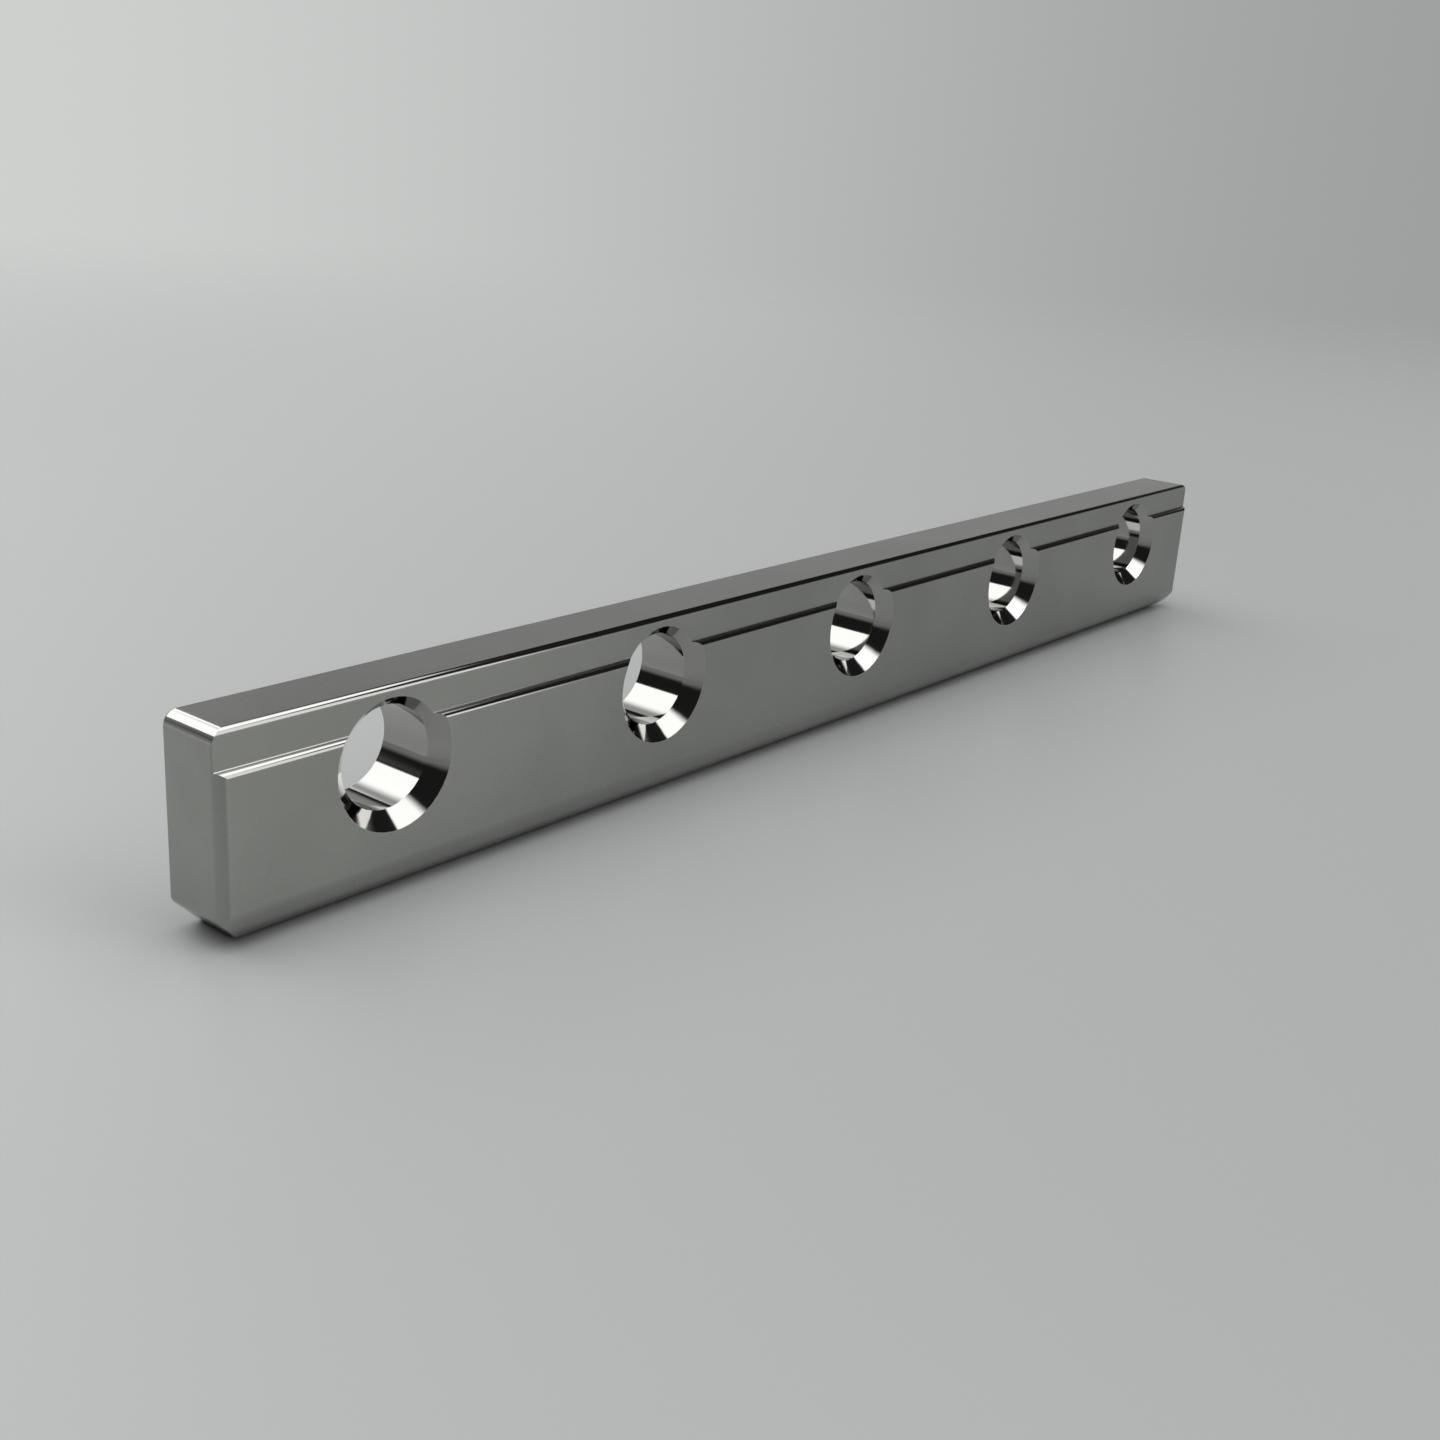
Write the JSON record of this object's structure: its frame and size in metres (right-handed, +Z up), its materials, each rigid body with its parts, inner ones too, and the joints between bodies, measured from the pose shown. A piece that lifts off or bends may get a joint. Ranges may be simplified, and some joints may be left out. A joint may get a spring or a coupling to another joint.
{
  "type": "clamping strip",
  "caption": "Machined aluminium strip on its long edge, with a row of countersunk through holes below a shallow relief on one face.",
  "frame": {"origin": "middle of the footprint, at the height of the foot that the strip stands on", "axes": "+X along the strip, +Y through its thickness from the worked face to the back, +Z up its height"},
  "size_m": [0.2, 0.0086, 0.022],
  "materials": {
    "clamping_strip": "machined, satin on the faces and bright on the edges and in the holes"
  },
  "bodies": {
    "root": {"clamping_strip": "clamping_strip"}
  },
  "joints": []
}
